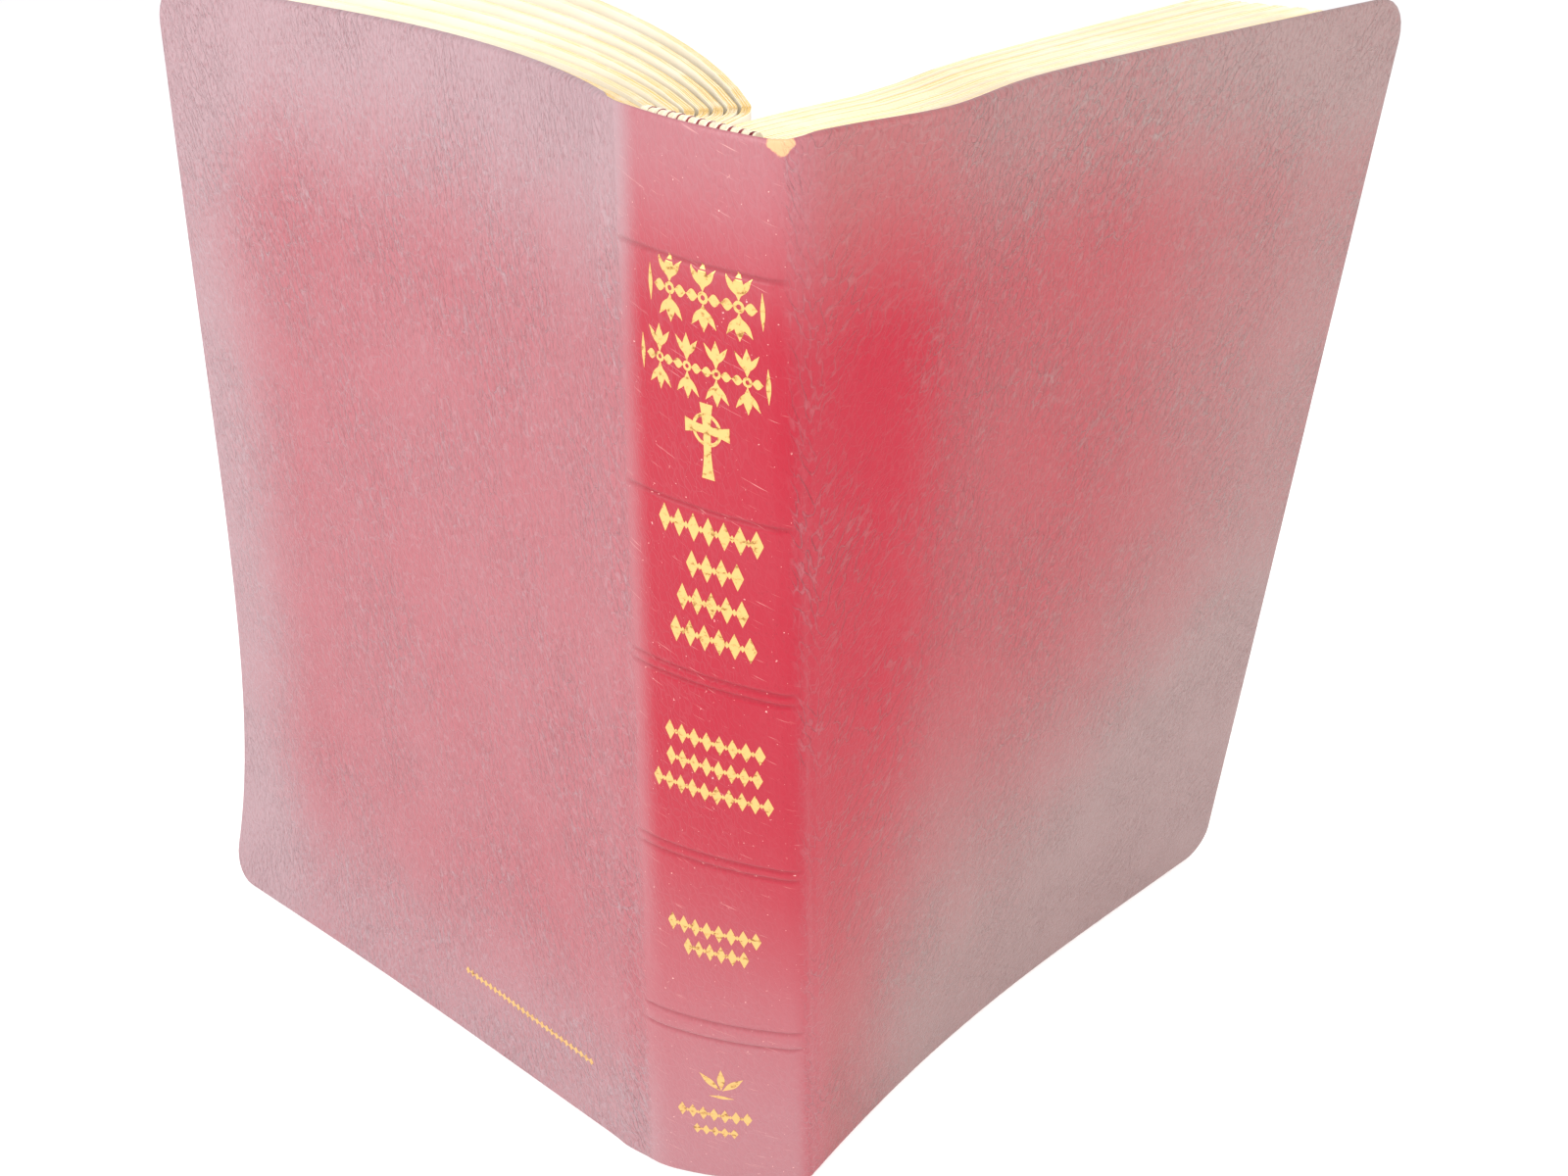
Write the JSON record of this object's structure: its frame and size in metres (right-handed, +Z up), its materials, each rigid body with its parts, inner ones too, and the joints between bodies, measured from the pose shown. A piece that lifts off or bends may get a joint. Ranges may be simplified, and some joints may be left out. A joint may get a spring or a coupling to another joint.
{
  "type": "bible",
  "caption": "Leather-bound bible standing open on its tail, with a flexible spine, hinged covers and fanned groups of gilt-edged leaves.",
  "frame": {"origin": "bottom centre of the bounding box of the open book, on the surface it stands on", "axes": "+Z up from tail to head, +X along the open spread from back cover to front cover, +Y from the spine into the opening"},
  "size_m": [0.279, 0.1624, 0.24],
  "materials": {
    "cover_leather": "burgundy bonded leather, fine pebbled grain, soft sheen",
    "card": "flexible grey-brown card",
    "endpaper": "smooth cream endpaper",
    "leaf_paper": "thin cream bible paper with gilt edges",
    "kraft_paper": "brown kraft paper",
    "mull": "open-weave binder's cloth, glued",
    "band_cloth": "striped silk bead",
    "thread": "linen thread"
  },
  "bodies": {
    "spine": {"spine_leather": "cover_leather", "spine_stiffener": "card", "kraft_lining": "kraft_paper", "mull_cloth": "mull", "back_sewn_folds": "leaf_paper", "front_sewn_folds": "leaf_paper", "headband": "band_cloth", "tailband": "band_cloth", "sewing_thread": "thread"},
    "back_cover": {"back_cover_leather": "cover_leather", "back_cover_card": "card", "back_pastedown": "endpaper"},
    "front_cover": {"front_cover_leather": "cover_leather", "front_cover_card": "card", "front_pastedown": "endpaper"},
    "back_group_1": {"back_leaves_1": "leaf_paper", "back_flyleaf": "endpaper"},
    "back_group_2": {"back_leaves_2": "leaf_paper"},
    "back_group_3": {"back_leaves_3": "leaf_paper"},
    "back_group_4": {"back_leaves_4": "leaf_paper"},
    "back_group_5": {"back_leaves_5": "leaf_paper"},
    "back_group_6": {"back_leaves_6": "leaf_paper"},
    "back_group_7": {"back_leaves_7": "leaf_paper"},
    "back_group_8": {"back_leaves_8": "leaf_paper"},
    "front_group_1": {"front_leaves_1": "leaf_paper", "front_flyleaf": "endpaper"},
    "front_group_2": {"front_leaves_2": "leaf_paper"},
    "front_group_3": {"front_leaves_3": "leaf_paper"},
    "front_group_4": {"front_leaves_4": "leaf_paper"},
    "front_group_5": {"front_leaves_5": "leaf_paper"},
    "front_group_6": {"front_leaves_6": "leaf_paper"},
    "front_group_7": {"front_leaves_7": "leaf_paper"},
    "front_group_8": {"front_leaves_8": "leaf_paper"}
  },
  "joints": [
    {"name": "back_cover_hinge", "type": "hinge", "parent": "spine", "child": "back_cover", "pos_m": [-0.01696, -0.06062, 0.12], "axis": [0.0204, 0.0401, 0.999], "range_deg": [-73.8, 16.2]},
    {"name": "front_cover_hinge", "type": "hinge", "parent": "spine", "child": "front_cover", "pos_m": [0.01364, -0.07622, 0.12], "axis": [-0.0204, -0.0401, 0.999], "range_deg": [-68.5, 21.5]},
    {"name": "back_leaves_1_hinge", "type": "hinge", "parent": "spine", "child": "back_group_1", "pos_m": [-0.01175, -0.05767, 0.12], "axis": [0.0204, 0.0401, 0.999], "range_deg": [-71.97, 15.81]},
    {"name": "back_leaves_2_hinge", "type": "hinge", "parent": "spine", "child": "back_group_2", "pos_m": [-0.00936, -0.05705, 0.12], "axis": [0.0204, 0.0401, 0.999], "range_deg": [-69.29, 15.22]},
    {"name": "back_leaves_3_hinge", "type": "hinge", "parent": "spine", "child": "back_group_3", "pos_m": [-0.00702, -0.05653, 0.12], "axis": [0.0204, 0.0401, 0.999], "range_deg": [-66.6, 14.63]},
    {"name": "back_leaves_4_hinge", "type": "hinge", "parent": "spine", "child": "back_group_4", "pos_m": [-0.00472, -0.05608, 0.12], "axis": [0.0204, 0.0401, 0.999], "range_deg": [-63.91, 14.04]},
    {"name": "back_leaves_5_hinge", "type": "hinge", "parent": "spine", "child": "back_group_5", "pos_m": [-0.00245, -0.05571, 0.12], "axis": [0.0204, 0.0401, 0.999], "range_deg": [-61.22, 13.45]},
    {"name": "back_leaves_6_hinge", "type": "hinge", "parent": "spine", "child": "back_group_6", "pos_m": [-0.00022, -0.05541, 0.12], "axis": [0.0204, 0.0401, 0.999], "range_deg": [-58.53, 12.86]},
    {"name": "back_leaves_7_hinge", "type": "hinge", "parent": "spine", "child": "back_group_7", "pos_m": [0.00197, -0.05519, 0.12], "axis": [0.0204, 0.0401, 0.999], "range_deg": [-55.84, 12.27]},
    {"name": "back_leaves_8_hinge", "type": "hinge", "parent": "spine", "child": "back_group_8", "pos_m": [0.00412, -0.05503, 0.12], "axis": [0.0204, 0.0401, 0.999], "range_deg": [-53.16, 11.68]},
    {"name": "front_leaves_1_hinge", "type": "hinge", "parent": "spine", "child": "front_group_1", "pos_m": [0.01297, -0.07026, 0.12], "axis": [-0.0204, -0.0401, 0.999], "range_deg": [-66.81, 20.98]},
    {"name": "front_leaves_2_hinge", "type": "hinge", "parent": "spine", "child": "front_group_2", "pos_m": [0.01206, -0.06797, 0.12], "axis": [-0.0204, -0.0401, 0.999], "range_deg": [-64.31, 20.2]},
    {"name": "front_leaves_3_hinge", "type": "hinge", "parent": "spine", "child": "front_group_3", "pos_m": [0.01111, -0.06577, 0.12], "axis": [-0.0204, -0.0401, 0.999], "range_deg": [-61.82, 19.42]},
    {"name": "front_leaves_4_hinge", "type": "hinge", "parent": "spine", "child": "front_group_4", "pos_m": [0.01012, -0.06364, 0.12], "axis": [-0.0204, -0.0401, 0.999], "range_deg": [-59.32, 18.63]},
    {"name": "front_leaves_5_hinge", "type": "hinge", "parent": "spine", "child": "front_group_5", "pos_m": [0.00909, -0.06159, 0.12], "axis": [-0.0204, -0.0401, 0.999], "range_deg": [-56.83, 17.85]},
    {"name": "front_leaves_6_hinge", "type": "hinge", "parent": "spine", "child": "front_group_6", "pos_m": [0.00802, -0.05961, 0.12], "axis": [-0.0204, -0.0401, 0.999], "range_deg": [-54.33, 17.07]},
    {"name": "front_leaves_7_hinge", "type": "hinge", "parent": "spine", "child": "front_group_7", "pos_m": [0.00691, -0.05771, 0.12], "axis": [-0.0204, -0.0401, 0.999], "range_deg": [-51.84, 16.28]},
    {"name": "front_leaves_8_hinge", "type": "hinge", "parent": "spine", "child": "front_group_8", "pos_m": [0.00577, -0.05587, 0.12], "axis": [-0.0204, -0.0401, 0.999], "range_deg": [-49.34, 15.5]}
  ],
  "couplings": [
    {"joint": "back_leaves_1_hinge", "follows": "back_cover_hinge", "ratio": 0.975},
    {"joint": "back_leaves_2_hinge", "follows": "back_cover_hinge", "ratio": 0.93857},
    {"joint": "back_leaves_3_hinge", "follows": "back_cover_hinge", "ratio": 0.90214},
    {"joint": "back_leaves_4_hinge", "follows": "back_cover_hinge", "ratio": 0.86571},
    {"joint": "back_leaves_5_hinge", "follows": "back_cover_hinge", "ratio": 0.82929},
    {"joint": "back_leaves_6_hinge", "follows": "back_cover_hinge", "ratio": 0.79286},
    {"joint": "back_leaves_7_hinge", "follows": "back_cover_hinge", "ratio": 0.75643},
    {"joint": "back_leaves_8_hinge", "follows": "back_cover_hinge", "ratio": 0.72},
    {"joint": "front_leaves_1_hinge", "follows": "front_cover_hinge", "ratio": 0.975},
    {"joint": "front_leaves_2_hinge", "follows": "front_cover_hinge", "ratio": 0.93857},
    {"joint": "front_leaves_3_hinge", "follows": "front_cover_hinge", "ratio": 0.90214},
    {"joint": "front_leaves_4_hinge", "follows": "front_cover_hinge", "ratio": 0.86571},
    {"joint": "front_leaves_5_hinge", "follows": "front_cover_hinge", "ratio": 0.82929},
    {"joint": "front_leaves_6_hinge", "follows": "front_cover_hinge", "ratio": 0.79286},
    {"joint": "front_leaves_7_hinge", "follows": "front_cover_hinge", "ratio": 0.75643},
    {"joint": "front_leaves_8_hinge", "follows": "front_cover_hinge", "ratio": 0.72}
  ]
}
